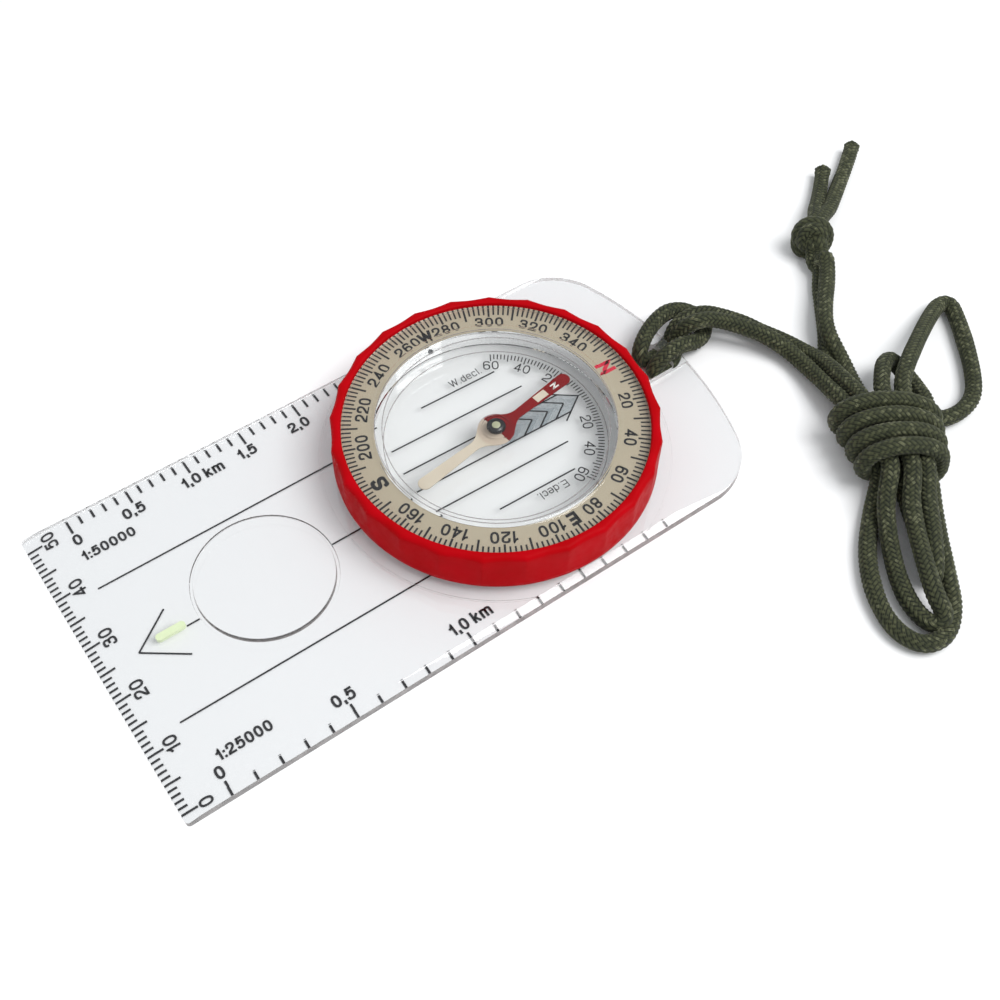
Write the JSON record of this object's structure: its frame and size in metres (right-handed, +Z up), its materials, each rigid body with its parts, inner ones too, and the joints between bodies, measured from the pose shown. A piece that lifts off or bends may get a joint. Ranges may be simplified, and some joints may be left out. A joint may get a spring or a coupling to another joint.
{
  "type": "baseplate compass",
  "caption": "Clear rectangular map plate with rulers, a small lens, a turning red-rimmed dial with a floating magnetic needle, and a braided neck cord gathered in a hank.",
  "frame": {"origin": "underside of the plate, under the middle of its length and width, with the cord left out", "axes": "+X towards the long edge with the 1:25000 scale, -Y the direction of travel and +Y the cord's end, +Z up out of the dial"},
  "size_m": [0.0933, 0.1687, 0.0106],
  "materials": {
    "clear_acrylic": "polished clear acrylic",
    "capsule_clear": "polished clear plastic",
    "hub_clear": "clear plastic",
    "luminous": "pale luminous paint",
    "index_red": "printed red",
    "bezel_red": "moulded red plastic, satin gloss",
    "scale_beige": "translucent beige plastic, printed",
    "pin_steel": "hardened steel",
    "plug_grey": "plain",
    "needle_red": "red enamel",
    "needle_cream": "cream enamel",
    "cap_black": "black",
    "jewel": "polished synthetic jewel",
    "cord_olive": "braided synthetic cord"
  },
  "bodies": {
    "baseplate": {"baseplate": "clear_acrylic", "magnifier_lens": "clear_acrylic", "bearing_collar": "clear_acrylic", "travel_lume_strip": "luminous", "index_mark": "index_red", "lanyard_hitch": "cord_olive", "lanyard_lead_a": "cord_olive", "lanyard_lead_b": "cord_olive", "lanyard_hank": "cord_olive", "lanyard_tall_loop": "cord_olive", "lanyard_small_bight": "cord_olive", "lanyard_upper_a": "cord_olive", "lanyard_upper_b": "cord_olive", "lanyard_knot": "cord_olive", "lanyard_end_a": "cord_olive", "lanyard_end_b": "cord_olive"},
    "dial": {"bezel_ring": "bezel_red", "capsule_lid": "capsule_clear", "degree_scale_ring": "scale_beige", "capsule_body": "capsule_clear", "retaining_ring": "capsule_clear", "pivot_pin": "pin_steel", "fill_plug": "plug_grey"},
    "needle": {"needle_north": "needle_red", "needle_south": "needle_cream", "needle_hub": "hub_clear", "bearing_cap": "cap_black", "jewel_bearing": "jewel", "cap_lume_dot": "luminous", "needle_lume_patch": "luminous"}
  },
  "joints": [
    {"name": "dial_turn", "type": "hinge", "parent": "baseplate", "child": "dial", "pos_m": [0, 0.016, 0], "axis": [0, 0, 1], "continuous": true},
    {"name": "needle_swing", "type": "hinge", "parent": "dial", "child": "needle", "pos_m": [0, 0.016, 0], "axis": [0, 0, 1], "continuous": true}
  ]
}
